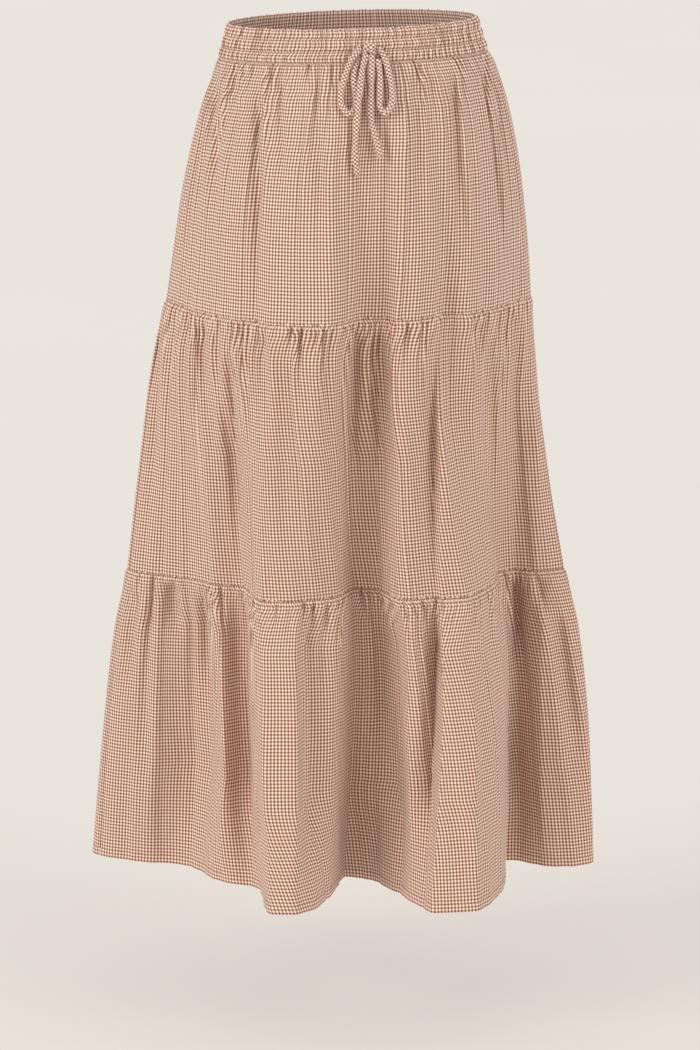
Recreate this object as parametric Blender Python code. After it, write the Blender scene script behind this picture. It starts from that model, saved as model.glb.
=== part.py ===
"""Tiered ruffle skirt with a gathered elastic waist and a tie cord, in light checked cotton.

Each of the three tiers is a straight strip of cloth, gathered along its top edge on to the
edge above it. A front and a back panel meet at each side seam. The bottom edge of a tier
lies flat in a few large folds, and the same folds run on down through the tier below.

Metres, +Z up, front towards -Y, wearer's left towards +X. The origin is the centre of the
waistband's ring at half its height. The tables are in millimetres and degrees.
"""
import math
from collections import namedtuple

import bmesh
import bpy
import numpy as np

MM = 0.001

# Cloth
WALL = 1.4
SEAM_GAP = 0.3

# The waist is higher on the wearer's left, by this slope. Shares of it at hem, tier 2's and
# tier 1's lower edges, and waist.
WAIST_TILT = 0.030
TILT_SHARES = (0.0, 0.1, 0.37, 1.0)

# Waistband: half ring sizes at its middle line, and the form of its outer face
BAND_HALF_HEIGHT = 17.0
BAND_INNER = 1.6
BAND_PUCKERS = 30
BAND_PUCKER_DEPTH = 0.7

# A ring of the skirt at height z: an ellipse, moved sideways by shift
Section = namedtuple("Section", "z half_width half_depth shift")
BandRow = namedtuple("BandRow", "name z out")
Tier = namedtuple("Tier", "name sections gathers")
# A crest or hollow of the large folds. Degrees run round from the front centre, positive
# towards +X. Out is the distance from the ellipse, at each tier's lower edge in turn.
Fold = namedtuple("Fold", "name deg_1 out_1 deg_2 out_2 deg_3 out_3")
Row = namedtuple("Row", "name depth columns_per_gather")
Route = namedtuple("Route", "x out z")

BAND_SECTIONS = (
    Section(17.0, 130.0, 96.0, 2.0),
    Section(0.0, 135.0, 100.0, 2.5),
    Section(-17.0, 140.0, 104.0, 3.0),
)
BAND_ROWS = (
    BandRow("top edge", 17.0, 0.9),
    BandRow("upper channel", 12.5, 2.0),
    BandRow("upper stitch line", 6.8, 1.2),
    BandRow("middle channel", 0.4, 2.2),
    BandRow("lower stitch line", -6.2, 1.2),
    BandRow("lower channel", -11.0, 2.0),
    BandRow("lower edge", -17.0, 0.9),
)
TIER_1 = Tier("tier1", (
    Section(-17.3, 140.0, 104.0, 3.0),
    Section(-30.0, 147.0, 111.0, 4.5),
    Section(-45.0, 153.0, 118.0, 5.0),
    Section(-70.0, 162.0, 128.0, 4.5),
    Section(-113.0, 173.0, 141.0, 4.0),
    Section(-160.0, 182.0, 150.0, 3.0),
    Section(-220.0, 190.0, 156.0, 2.0),
    Section(-281.0, 197.0, 158.0, 0.0),
), 22)
TIER_2 = Tier("tier2", (
    Section(-281.3, 197.0, 158.0, 0.0),
    Section(-300.0, 200.0, 161.0, -2.0),
    Section(-340.0, 206.0, 164.0, -5.0),
    Section(-400.0, 213.0, 164.0, -7.0),
    Section(-480.0, 223.0, 160.0, -7.0),
    Section(-578.0, 237.0, 154.0, -5.0),
), 26)
TIER_3 = Tier("tier3", (
    Section(-578.3, 237.0, 154.0, -5.0),
    Section(-600.0, 242.0, 157.0, -4.0),
    Section(-640.0, 251.0, 160.0, -4.0),
    Section(-720.0, 261.0, 160.0, -4.5),
    Section(-800.0, 268.0, 156.0, -6.0),
    Section(-900.0, 274.0, 150.0, -9.0),
), 30)
TIERS = (TIER_1, TIER_2, TIER_3)

FOLDS = (
    Fold("left side", -94, 0, -94, 0, -99, 3),
    Fold("left front", -74, -10, -72, -33, -76, -37),
    Fold("left hollow", -60, -8, -54, -45, -49, -63),
    Fold("left ledge", -38, 5, -35, -39, -27, -22),
    Fold("first fold, foot", -30, 8, -28, -27, -19, -8),
    Fold("first fold, left crest", -21, 22, -20, 14, -13, 82),
    Fold("first fold, right crest", -8, 24, -11, 9, -7, 75),
    Fold("first fold, shoulder", -4, 16, -3, -13, -3, 20),
    Fold("centre hollow, left", 4, -21, 3, -62, 1, -66),
    Fold("centre hollow, right", 11, -19, 10, -56, 8, -52),
    Fold("second fold, foot", 15, -2, 14, 0, 12, -8),
    Fold("second fold, left crest", 19, -2, 18, 6, 18, 80),
    Fold("second fold, right crest", 26, -6, 31, 9, 26, 79),
    Fold("second fold, shoulder", 34, -22, 39, -9, 36, 24),
    Fold("second fold, heel", 41, -8, 48, -32, 45, -36),
    Fold("right hollow", 52, -15, 67, -64, 54, -80),
    Fold("right rise", 66, -15, 81, -34, 67, -20),
    Fold("right side", 92, -3, 91, 0, 80, 3),
    Fold("right back hollow", 114, -3, 113, -20, 111, -46),
    Fold("right back fold, right crest", 133, 6, 132, 18, 130, 46),
    Fold("right back fold, left crest", 146, 8, 146, 26, 144, 58),
    Fold("back hollow, right", 166, -3, 164, -32, 162, -66),
    Fold("middle back fold, right crest", 182, 5, 181, 20, 179, 50),
    Fold("middle back fold, left crest", 194, 8, 194, 27, 192, 60),
    Fold("back hollow, left", 213, -3, 212, -30, 212, -62),
    Fold("left back fold, right crest", 230, 8, 229, 22, 228, 48),
    Fold("left back fold, left crest", 242, 6, 241, 14, 239, 36),
    Fold("left back hollow", 256, 0, 255, -12, 251, -30),
)

# A long step in the front's cloth: how wide its left and right slopes are, and at six heights
# where it lies across and how far back it is. A negative depth is a ridge.
STEP_HEIGHTS = (-281.0, -430.0, -578.0, -630.0, -740.0, -900.0)
Step = namedtuple("Step", "name left right x_1 in_1 x_2 in_2 x_3 in_3 x_4 in_4 x_5 in_5 x_6 in_6")
STEPS = (
    Step("left tread", 64, 18, -170, 0, -165, 4, -163, 5, -160, 24, -158, 38, -168, 8),
    Step("ledge valley", 33, 8, -131, 3, -119, 18, -113, 12, -110, 42, -107, 48, -103, 8),
    Step("first fold, shelf", 13, 34, -62, 0, -56, 0, -47, 4, -44, 16, -43, 24, -45, 6),
    Step("second fold, foot", 25, 9, 38, 3, 42, 18, 47, 12, 49, 28, 53, 38, 58, 4),
    Step("second fold, shelf", 29, 15, 89, 3, 87, 12, 88, 6, 86, 16, 80, 26, 73, 5),
    Step("second fold, heel", 8, 24, 132, 0, 132, 2, 136, 3, 140, 9, 140, 12, 142, 4),
    Step("right hollow", 16, 24, 178, 2, 177, 12, 179, 8, 183, 18, 184, 26, 186, 8),
)
# The steps start this far below the waist
STEPS_FROM = 190.0

# Rows down a tier: depth is the share of its drop. Gathers pair up below the third row.
TIER_ROWS = (
    Row("seam", 0.0, 4),
    Row("gathers", 0.06, 4),
    Row("upper", 0.20, 4),
    Row("middle", 0.42, 2),
    Row("lower", 0.70, 2),
    Row("edge", 1.0, 2),
)
GATHERS_FULL_AT = 0.06
PAIRED_FROM = 0.12
PAIRED_BY = 0.50
PAIRED_HEIGHT = 1.9
FLAT_BY_SIDE_SEAM = 0.8
# Cloth left over at the hem, so that its edge still waves a little between the large folds
HEM_EASE = 1.012
# Gathers are unevenly wide and high: waves along a panel, as turns from seam to seam and size
WIDTH_WAVES = ((2, 0.30), (5, 0.16))
HEIGHT_WAVES = ((3, 0.25), (7, 0.20))
STEEPEST_GATHER = 12.0

# Points along a ring before and after they are spaced evenly
RING_STEPS = 2400
LINE_STEPS = 1600

# Drawstring: tube of cloth, knot and the routes of its loops and free ends. Out is the
# distance of the middle line in front of the skirt's front, ellipse and gathers included.
CORD_DIAMETER = 5.5
KNOT_CENTRE = (20.0, -2.0)
KNOT_HALF = (7.0, 6.0, 5.0)
KNOT_OUT = 9.0
LOOP_LEFT = (
    Route(11.0, 9.0, -0.5),
    Route(6.5, 11.5, -5.5),
    Route(1.0, 12.0, -14.0),
    Route(-4.8, 10.0, -28.0),
    Route(-9.5, 8.0, -45.0),
    Route(-7.4, 7.5, -60.0),
    Route(-1.0, 7.5, -66.5),
    Route(5.2, 7.5, -61.0),
    Route(5.6, 7.5, -48.0),
    Route(4.2, 8.5, -26.0),
    Route(6.8, 7.6, -17.0),
    Route(9.6, 6.4, -10.5),
)
LOOP_RIGHT = (
    Route(29.0, 9.0, -0.5),
    Route(33.0, 10.0, -5.5),
    Route(37.0, 9.5, -13.5),
    Route(39.6, 9.0, -23.0),
    Route(43.0, 8.0, -40.0),
    Route(41.8, 7.5, -60.0),
    Route(36.2, 7.5, -66.5),
    Route(31.7, 7.5, -61.0),
    Route(31.0, 7.5, -48.0),
    Route(31.2, 8.5, -29.0),
    Route(28.8, 9.0, -12.5),
)
TAIL_LEFT = (
    Route(16.7, 10.3, -7.0),
    Route(12.0, 13.0, -26.0),
    Route(10.6, 14.5, -40.0),
    Route(8.6, 14.5, -56.0),
    Route(7.6, 13.5, -68.0),
    Route(5.9, 9.5, -88.0),
    Route(5.3, 8.0, -108.0),
    Route(7.4, 7.5, -129.0),
)
TAIL_RIGHT = (
    Route(22.8, 10.5, -7.7),
    Route(22.2, 8.5, -31.0),
    Route(21.2, 8.0, -55.0),
    Route(21.8, 7.5, -74.0),
    Route(27.5, 7.5, -94.0),
    Route(31.7, 7.5, -111.0),
)
CORD_POINT_SPACING = 12.0

COTTON = (0.60, 0.39, 0.31, 1.0)


def smooth_curve(at, xs, ys):
    """Values at `at` of a curve through (xs, ys) that is level at each crest and hollow."""
    at, xs, ys = (np.asarray(values, float) for values in (at, xs, ys))
    step = np.diff(xs)
    slope = np.diff(ys) / step
    before, after = slope[:-1], slope[1:]
    steady = before * after > 0
    tangent = np.concatenate(([slope[0]], np.zeros(len(before)), [slope[-1]]))
    tangent[1:-1][steady] = 2 * before[steady] * after[steady] / (before[steady] + after[steady])
    k = np.clip(np.searchsorted(xs, at) - 1, 0, len(step) - 1)
    t = (at - xs[k]) / step[k]
    return (
        ys[k] * (1 + 2 * t) * (1 - t) ** 2
        + ys[k + 1] * t * t * (3 - 2 * t)
        + step[k] * t * (1 - t) * (tangent[k] * (1 - t) - tangent[k + 1] * t)
    )


def section_at(sections, z):
    """Half width, half depth and sideways shift of the ring at height z."""
    depths = [-row.z for row in sections]
    return [
        float(smooth_curve([-z], depths, [getattr(row, column) for row in sections])[0])
        for column in ("half_width", "half_depth", "shift")
    ]


def fold_table_at(z):
    """Angle and distance out of every crest and hollow at height z, once round."""
    edges = [-tier.sections[-1].z for tier in TIERS]
    waist = BAND_HALF_HEIGHT
    degrees = np.array([[row.deg_1, row.deg_1, row.deg_2, row.deg_3] for row in FOLDS], float)
    outs = np.array([[0.0, row.out_1, row.out_2, row.out_3] for row in FOLDS], float)
    drops = [waist] + edges
    deg = np.array([np.interp(-z, drops, row) for row in degrees])
    out = np.array([np.interp(-z, drops, row) for row in outs])
    return deg, out


def ring(sections, z, first_deg, last_deg):
    """Points round part of the skirt at height z, with its large folds and long steps."""
    half_width, half_depth, shift = section_at(sections, z)
    deg, out = fold_table_at(z)
    deg = np.concatenate((deg[-2:] - 360, deg, deg[:2] + 360))
    out = np.concatenate((out[-2:], out, out[:2]))
    at = np.linspace(first_deg, last_deg, RING_STEPS + 1)
    reach = smooth_curve(at, deg, out)
    angle = np.radians(at)
    x = half_width * np.sin(angle)
    y = -half_depth * np.cos(angle)
    normal = np.stack((half_depth * np.sin(angle), -half_width * np.cos(angle)), 1)
    normal /= np.linalg.norm(normal, axis=1)[:, None]
    line = np.stack((x + shift, y), 1) + normal * reach[:, None]
    if first_deg < 0:
        line[:, 1] += step_depths(line[:, 0], z)
    return evenly_spaced(line, LINE_STEPS + 1)


def smoothstep(value, low, high):
    t = min(max((value - low) / (high - low), 0.0), 1.0)
    return t * t * (3 - 2 * t)


def step_depths(x, z):
    """How far the long steps lie behind the large folds at places x across, at height z."""
    depth = np.zeros(len(x))
    heights = [-value for value in STEP_HEIGHTS]
    for step in STEPS:
        place = np.interp(-z, heights, step[3::2])
        full = np.interp(-z, heights, step[4::2]) * smoothstep(-z, STEPS_FROM, heights[0])
        off = x - place
        slope = np.clip(1 - np.where(off < 0, -off / step.left, off / step.right), 0.0, 1.0)
        depth += full * slope * slope * (3 - 2 * slope)
    return depth


def evenly_spaced(line, count):
    """The same line with `count` points at equal distances along it."""
    along = np.concatenate(([0.0], np.cumsum(np.linalg.norm(np.diff(line, axis=0), axis=1))))
    at = np.linspace(0.0, along[-1], count)
    return np.stack([np.interp(at, along, line[:, axis]) for axis in (0, 1)], 1)


def line_length(line):
    return float(np.linalg.norm(np.diff(line, axis=0), axis=1).sum())


def plan_normals(line):
    """Unit normals of a line seen from above, pointing out of the skirt."""
    along = np.gradient(line, axis=0)
    along /= np.linalg.norm(along, axis=1)[:, None]
    return np.stack((along[:, 1], -along[:, 0]), 1)


def gather_phase(share, gathers):
    """Gathers counted from the side seam; they are unevenly wide."""
    phase = gathers * share
    for turns, size in WIDTH_WAVES:
        phase = phase + size * np.sin(2 * math.pi * turns * share)
    return phase


def gather_wave(share, gathers, paired, variation):
    """Height of the gathers, for an overall size of 1. Narrow gathers are shallow."""
    phase = gather_phase(share, gathers)
    width = gathers * np.gradient(share) / np.gradient(phase)
    uneven = np.ones(len(share))
    for number, (turns, size) in enumerate(HEIGHT_WAVES, 1):
        uneven += size * np.sin(2 * math.pi * turns * share + number * variation)
    from_seam = np.minimum(share, 1 - share) * gathers
    uneven *= np.clip(from_seam / FLAT_BY_SIDE_SEAM, 0.0, 1.0)
    single = (1 - paired) * np.sin(2 * math.pi * phase)
    double = paired * PAIRED_HEIGHT * np.sin(math.pi * phase)
    return width * uneven * (single + double)


def gathered_line(line, gathers, paired, variation, flat_width):
    """The line with gathers as deep as it takes to hold the panel's flat width."""
    share = np.linspace(0.0, 1.0, len(line))
    wave = gather_wave(share, gathers, paired, variation)[:, None] * plan_normals(line)
    low, high = 0.0, STEEPEST_GATHER
    for _ in range(30):
        height = (low + high) / 2
        if line_length(line + wave * height) < flat_width:
            low = height
        else:
            high = height
    return line + wave * low


def lift(x, z):
    """Height after the waist's tilt, which fades out towards the hem."""
    drops = [tier.sections[-1].z for tier in reversed(TIERS)] + [0.0]
    fade = np.interp(z, drops, TILT_SHARES)
    return z + WAIST_TILT * fade * x


def wall_sides(middle, seam_side):
    """Outer and inner lines of a wall of even thickness, cut square at the side seams."""
    along = np.diff(middle, axis=0)
    along /= np.linalg.norm(along, axis=1)[:, None]
    facing = np.stack((along[:, 1], -along[:, 0]), 1)
    corner = facing[:-1] + facing[1:]
    offset = np.empty_like(middle)
    offset[1:-1] = 2 * corner / np.maximum((corner ** 2).sum(1), 1.2)[:, None]
    for end in (0, -1):
        offset[end] = (1 / facing[end][0], 0.0)
    middle = middle.copy()
    middle[[0, -1], 1] = seam_side * SEAM_GAP / 2
    return [middle + offset * side for side in (WALL / 2, -WALL / 2)]


def tier_row(tier, row, ends, variation, flat_width):
    """Outer and inner points of one row of a tier's panel."""
    top, bottom = tier.sections[0].z, tier.sections[-1].z
    z = top + row.depth * (bottom - top)
    line = ring(tier.sections, z, *ends)
    paired = np.interp(row.depth, (PAIRED_FROM, PAIRED_BY), (0.0, 1.0))
    full = gathered_line(line, tier.gathers, paired, variation, flat_width)
    gathered = min(1.0, row.depth / GATHERS_FULL_AT)
    line = line + (full - line) * gathered
    share = np.linspace(0.0, 1.0, len(line))
    count = tier.gathers * row.columns_per_gather
    phases = np.linspace(0, tier.gathers, count + 1)
    at = np.interp(phases, gather_phase(share, tier.gathers), share)
    middle = np.stack([np.interp(at, share, line[:, axis]) for axis in (0, 1)], 1)
    seam_side = -1 if ends[0] < 0 else 1
    return [
        np.column_stack((plan, lift(plan[:, 0], z)))
        for plan in wall_sides(middle, seam_side)
    ]


def strip_faces(upper, lower):
    """Triangles between two rows of vertex numbers, whose spans are equal or 2 to 1."""
    faces = []
    if len(upper) == len(lower):
        for k in range(len(upper) - 1):
            faces.append((upper[k], lower[k], lower[k + 1]))
            faces.append((upper[k], lower[k + 1], upper[k + 1]))
        return faces
    for k in range(len(lower) - 1):
        left, middle, right = upper[2 * k:2 * k + 3]
        faces.append((left, lower[k], middle))
        faces.append((middle, lower[k], lower[k + 1]))
        faces.append((middle, lower[k + 1], right))
    return faces


def cotton(name):
    material = bpy.data.materials.new(name)
    material.use_nodes = True
    shader = material.node_tree.nodes["Principled BSDF"]
    shader.inputs["Base Color"].default_value = COTTON
    shader.inputs["Roughness"].default_value = 0.85
    shader.inputs["Metallic"].default_value = 0.0
    return material


def add_solid(name, points, faces, smooth):
    """A closed solid from points in millimetres."""
    mesh = bpy.data.meshes.new(name)
    mesh.from_pydata([tuple(point) for point in np.asarray(points) * MM], [], faces)
    form = bmesh.new()
    form.from_mesh(mesh)
    bmesh.ops.recalc_face_normals(form, faces=form.faces)
    form.to_mesh(mesh)
    form.free()
    for polygon in mesh.polygons:
        polygon.use_smooth = smooth
    mesh.materials.append(cotton(name))
    part = bpy.data.objects.new(name, mesh)
    bpy.context.scene.collection.objects.link(part)
    return part


def add_tier_panel(tier, side, ends, variation):
    """One cut panel of a tier, from side seam to side seam."""
    ease = HEM_EASE if tier is TIER_3 else 1.0
    flat_width = ease * line_length(ring(tier.sections, tier.sections[-1].z, *ends))
    points, rows = [], []
    for row in TIER_ROWS:
        numbers = []
        for layer in tier_row(tier, row, ends, variation, flat_width):
            numbers.append(list(range(len(points), len(points) + len(layer))))
            points.extend(layer)
        rows.append(numbers)
    faces = []
    for above, below in zip(rows, rows[1:]):
        faces += strip_faces(above[0], below[0])
        faces += [tuple(reversed(face)) for face in strip_faces(above[1], below[1])]
        for end in (0, -1):
            faces.append((above[0][end], below[0][end], below[1][end], above[1][end]))
    for outer, inner in (rows[0], rows[-1]):
        faces += strip_faces(outer, inner)
    return add_solid(f"{tier.name}_{side}", points, faces, True)


def add_band_panel(side, ends):
    """Half of the waistband: stitched channels outside, drawn into small puckers."""
    loops = []
    profile = [(row.z, row.out, True) for row in BAND_ROWS]
    profile += [(-BAND_HALF_HEIGHT, -BAND_INNER, False), (BAND_HALF_HEIGHT, -BAND_INNER, False)]
    for z, out, puckered in profile:
        line = ring(BAND_SECTIONS, z, *ends)
        line = evenly_spaced(line, 2 * BAND_PUCKERS + 1)
        normal = plan_normals(line)
        ridge = BAND_PUCKER_DEPTH * np.where(np.arange(len(line)) % 2, 0.5, -0.5)
        ridge[0] = ridge[-1] = 0.0
        plan = line + normal * (out + ridge * puckered)[:, None]
        cut = SEAM_GAP / 2
        plan[0, 1] += cut * np.sign(plan[1, 1] - plan[0, 1])
        plan[-1, 1] += cut * np.sign(plan[-2, 1] - plan[-1, 1])
        loops.append(np.column_stack((plan, lift(plan[:, 0], z))))
    across = len(loops)
    points = np.array(loops).transpose(1, 0, 2).reshape(-1, 3)
    faces = []
    for column in range(2 * BAND_PUCKERS):
        first, second = column * across, (column + 1) * across
        for k in range(across):
            after = (k + 1) % across
            faces.append((first + k, first + after, second + after, second + k))
    faces.append(tuple(range(across)))
    faces.append(tuple(reversed(range(len(points) - across, len(points)))))
    return add_solid(f"waistband_{side}", points, faces, True)


def front_of_skirt(x, z):
    """Y of the skirt's front at (x, z), on the crests of its gathers."""
    sections = BAND_SECTIONS if z > -BAND_HALF_HEIGHT else TIER_1.sections
    line = ring(sections, z, -60.0, 60.0)
    return float(np.interp(x, line[:, 0], line[:, 1]))


def cord_path(route):
    """A smooth line through a route, with a point every few millimetres."""
    corners = [(row.x, front_of_skirt(row.x, row.z) - row.out, row.z) for row in route]
    corners = np.array(corners)
    gaps = np.linalg.norm(np.diff(corners, axis=0), axis=1)
    along = np.concatenate(([0.0], np.cumsum(gaps)))
    fine = np.linspace(0, along[-1], 400)
    path = np.stack([natural_curve(fine, along, corners[:, axis]) for axis in range(3)], 1)
    walked = np.concatenate(([0.0], np.cumsum(np.linalg.norm(np.diff(path, axis=0), axis=1))))
    count = max(4, round(walked[-1] / CORD_POINT_SPACING) + 1)
    at = np.linspace(0, walked[-1], count)
    return np.stack([np.interp(at, walked, path[:, axis]) for axis in range(3)], 1)


def natural_curve(at, xs, ys):
    """Cubic curve through (xs, ys) whose slope follows the neighbours of each point."""
    tangent = np.gradient(ys, xs)
    k = np.clip(np.searchsorted(xs, at) - 1, 0, len(xs) - 2)
    step = xs[k + 1] - xs[k]
    t = (at - xs[k]) / step
    return (
        ys[k] * (1 + 2 * t) * (1 - t) ** 2
        + ys[k + 1] * t * t * (3 - 2 * t)
        + step * t * (1 - t) * (tangent[k] * (1 - t) - tangent[k + 1] * t)
    )


def add_cord(name, route):
    curve = bpy.data.curves.new(name, "CURVE")
    curve.dimensions = "3D"
    curve.bevel_depth = CORD_DIAMETER / 2 * MM
    curve.bevel_resolution = 2
    curve.use_fill_caps = True
    path = cord_path(route)
    spline = curve.splines.new("POLY")
    spline.points.add(len(path) - 1)
    for point, place in zip(spline.points, path):
        point.co = (*(place * MM), 1.0)
    spline.use_smooth = True
    curve.materials.append(cotton(name))
    part = bpy.data.objects.new(name, curve)
    bpy.context.scene.collection.objects.link(part)
    return part


def add_knot(name):
    """The bow's knot: a rounded block of wrapped cord."""
    x_mid, z_mid = KNOT_CENTRE
    y_mid = front_of_skirt(x_mid, z_mid) - KNOT_OUT
    around, rings = 14, 7
    points = [(x_mid - KNOT_HALF[0], y_mid, z_mid)]
    for k in range(1, rings):
        slope = math.pi * k / rings
        x = -math.copysign(abs(math.cos(slope)) ** 0.7, math.cos(slope))
        size = math.sin(slope) ** 0.7
        for j in range(around):
            turn = 2 * math.pi * j / around
            points.append((
                x_mid + KNOT_HALF[0] * x,
                y_mid + KNOT_HALF[2] * size * math.cos(turn),
                z_mid + KNOT_HALF[1] * size * math.sin(turn),
            ))
    points.append((x_mid + KNOT_HALF[0], y_mid, z_mid))
    faces = []
    for j in range(around):
        after = (j + 1) % around
        faces.append((0, 1 + after, 1 + j))
        last = 1 + (rings - 2) * around
        faces.append((len(points) - 1, last + j, last + after))
        for k in range(rings - 2):
            low, high = 1 + k * around, 1 + (k + 1) * around
            faces.append((low + j, low + after, high + after, high + j))
    return add_solid(name, points, faces, True)


for existing in list(bpy.data.objects):
    bpy.data.objects.remove(existing, do_unlink=True)

HALVES = (("front", (-90.0, 90.0), 1.1), ("back", (90.0, 270.0), 2.7))
for half_name, half_ends, half_variation in HALVES:
    add_band_panel(half_name, half_ends)
    for skirt_tier in TIERS:
        add_tier_panel(skirt_tier, half_name, half_ends, half_variation)
add_knot("drawstring_knot")
add_cord("drawstring_loop_left", LOOP_LEFT)
add_cord("drawstring_loop_right", LOOP_RIGHT)
add_cord("drawstring_tail_left", TAIL_LEFT)
add_cord("drawstring_tail_right", TAIL_RIGHT)
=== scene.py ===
"""The looks of the tiered ruffle skirt: thin gathered cloth, stitching, drawstring and light.

The front faces -Y. Sizes are in millimetres and degrees, as in the part's source, and become
metres where a mesh is made. The camera's place, the floor and the lights are in metres.
"""
import math
from collections import namedtuple

import bpy
import numpy as np
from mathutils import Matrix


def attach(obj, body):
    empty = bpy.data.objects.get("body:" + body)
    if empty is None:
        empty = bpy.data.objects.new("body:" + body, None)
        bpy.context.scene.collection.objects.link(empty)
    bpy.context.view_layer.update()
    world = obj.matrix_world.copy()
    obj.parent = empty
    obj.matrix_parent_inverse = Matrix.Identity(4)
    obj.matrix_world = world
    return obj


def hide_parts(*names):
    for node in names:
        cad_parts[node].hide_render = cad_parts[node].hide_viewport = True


MM = 0.001

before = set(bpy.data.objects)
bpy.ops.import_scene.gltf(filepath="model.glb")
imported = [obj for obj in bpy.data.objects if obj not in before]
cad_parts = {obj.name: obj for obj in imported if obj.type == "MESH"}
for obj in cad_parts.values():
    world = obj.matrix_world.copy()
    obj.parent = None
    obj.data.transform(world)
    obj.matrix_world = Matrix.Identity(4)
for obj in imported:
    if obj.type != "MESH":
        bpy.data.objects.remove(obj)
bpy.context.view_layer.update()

# ------------------------------------------------------------------ the skirt's large form

# These are the part's own sizes, but for a centre hollow 5 mm shallower at the lower seam.

# The waist's tilt, across, and its shares at the hem, the two seams and the waist
WAIST_TILT = 0.030
TILT_SHARES = (0.0, 0.1, 0.37, 1.0)
BAND_HALF_HEIGHT = 17.0
BAND_INNER = 1.6

Section = namedtuple("Section", "z half_width half_depth shift")
Tier = namedtuple("Tier", "name sections gathers columns rows")
Fold = namedtuple("Fold", "name deg_1 out_1 deg_2 out_2 deg_3 out_3")
Route = namedtuple("Route", "x out z")

BAND_SECTIONS = (
    Section(17.0, 130.0, 96.0, 2.0),
    Section(0.0, 135.0, 100.0, 2.5),
    Section(-17.0, 140.0, 104.0, 3.0),
)
TIER_1 = Tier("tier1", (
    Section(-17.3, 140.0, 104.0, 3.0),
    Section(-30.0, 147.0, 111.0, 4.5),
    Section(-45.0, 153.0, 118.0, 5.0),
    Section(-70.0, 162.0, 128.0, 4.5),
    Section(-113.0, 173.0, 141.0, 4.0),
    Section(-160.0, 182.0, 150.0, 3.0),
    Section(-220.0, 190.0, 156.0, 2.0),
    Section(-281.0, 197.0, 158.0, 0.0),
), 22, 420, 56)
TIER_2 = Tier("tier2", (
    Section(-281.3, 197.0, 158.0, 0.0),
    Section(-300.0, 200.0, 161.0, -2.0),
    Section(-340.0, 206.0, 164.0, -5.0),
    Section(-400.0, 213.0, 164.0, -7.0),
    Section(-480.0, 223.0, 160.0, -7.0),
    Section(-578.0, 237.0, 154.0, -5.0),
), 26, 480, 60)
TIER_3 = Tier("tier3", (
    Section(-578.3, 237.0, 154.0, -5.0),
    Section(-600.0, 242.0, 157.0, -4.0),
    Section(-640.0, 251.0, 160.0, -4.0),
    Section(-720.0, 261.0, 160.0, -4.5),
    Section(-800.0, 268.0, 156.0, -6.0),
    Section(-900.0, 274.0, 150.0, -9.0),
), 30, 560, 62)
TIERS = (TIER_1, TIER_2, TIER_3)

FOLDS = (
    Fold("left side", -94, 0, -94, 0, -99, 3),
    Fold("left front", -74, -10, -72, -33, -76, -37),
    Fold("left hollow", -60, -8, -54, -45, -49, -63),
    Fold("left ledge", -38, 5, -35, -39, -27, -22),
    Fold("first fold, foot", -30, 8, -28, -27, -19, -8),
    Fold("first fold, left crest", -21, 22, -20, 14, -13, 82),
    Fold("first fold, right crest", -8, 24, -11, 9, -7, 75),
    Fold("first fold, shoulder", -4, 16, -3, -13, -3, 20),
    Fold("centre hollow, left", 4, -21, 3, -57, 1, -66),
    Fold("centre hollow, right", 11, -19, 10, -51, 8, -52),
    Fold("second fold, foot", 15, -2, 14, 0, 12, -8),
    Fold("second fold, left crest", 19, -2, 18, 6, 18, 80),
    Fold("second fold, right crest", 26, -6, 31, 9, 26, 79),
    Fold("second fold, shoulder", 34, -22, 39, -9, 36, 24),
    Fold("second fold, heel", 41, -8, 48, -32, 45, -36),
    Fold("right hollow", 52, -15, 67, -64, 54, -80),
    Fold("right rise", 66, -15, 81, -34, 67, -20),
    Fold("right side", 92, -3, 91, 0, 80, 3),
    Fold("right back hollow", 114, -3, 113, -20, 111, -46),
    Fold("right back fold, right crest", 133, 6, 132, 18, 130, 46),
    Fold("right back fold, left crest", 146, 8, 146, 26, 144, 58),
    Fold("back hollow, right", 166, -3, 164, -32, 162, -66),
    Fold("middle back fold, right crest", 182, 5, 181, 20, 179, 50),
    Fold("middle back fold, left crest", 194, 8, 194, 27, 192, 60),
    Fold("back hollow, left", 213, -3, 212, -30, 212, -62),
    Fold("left back fold, right crest", 230, 8, 229, 22, 228, 48),
    Fold("left back fold, left crest", 242, 6, 241, 14, 239, 36),
    Fold("left back hollow", 256, 0, 255, -12, 251, -30),
)

# Gathers beside a side seam that lie flat, and how much longer the hem is than its ring
FLAT_BY_SIDE_SEAM = 0.8
HEM_EASE = 1.012

# The bow. A route's `out` is the distance of the cord's middle from the skirt's front.
KNOT_CENTRE = (20.0, -2.0)
KNOT_OUT = 9.0
LOOP_LEFT = (
    Route(11.0, 9.0, -0.5),
    Route(6.5, 11.5, -5.5),
    Route(1.0, 12.0, -14.0),
    Route(-4.8, 10.0, -28.0),
    Route(-9.5, 8.0, -45.0),
    Route(-7.4, 7.5, -60.0),
    Route(-1.0, 7.5, -66.5),
    Route(5.2, 7.5, -61.0),
    Route(5.6, 7.5, -48.0),
    Route(4.2, 8.5, -26.0),
    Route(6.8, 7.6, -17.0),
    Route(9.6, 6.4, -10.5),
)
LOOP_RIGHT = (
    Route(29.0, 9.0, -0.5),
    Route(33.0, 10.0, -5.5),
    Route(37.0, 9.5, -13.5),
    Route(39.6, 9.0, -23.0),
    Route(43.0, 8.0, -40.0),
    Route(41.8, 7.5, -60.0),
    Route(36.2, 7.5, -66.5),
    Route(31.7, 7.5, -61.0),
    Route(31.0, 7.5, -48.0),
    Route(31.2, 8.5, -29.0),
    Route(28.8, 9.0, -12.5),
)
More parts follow.
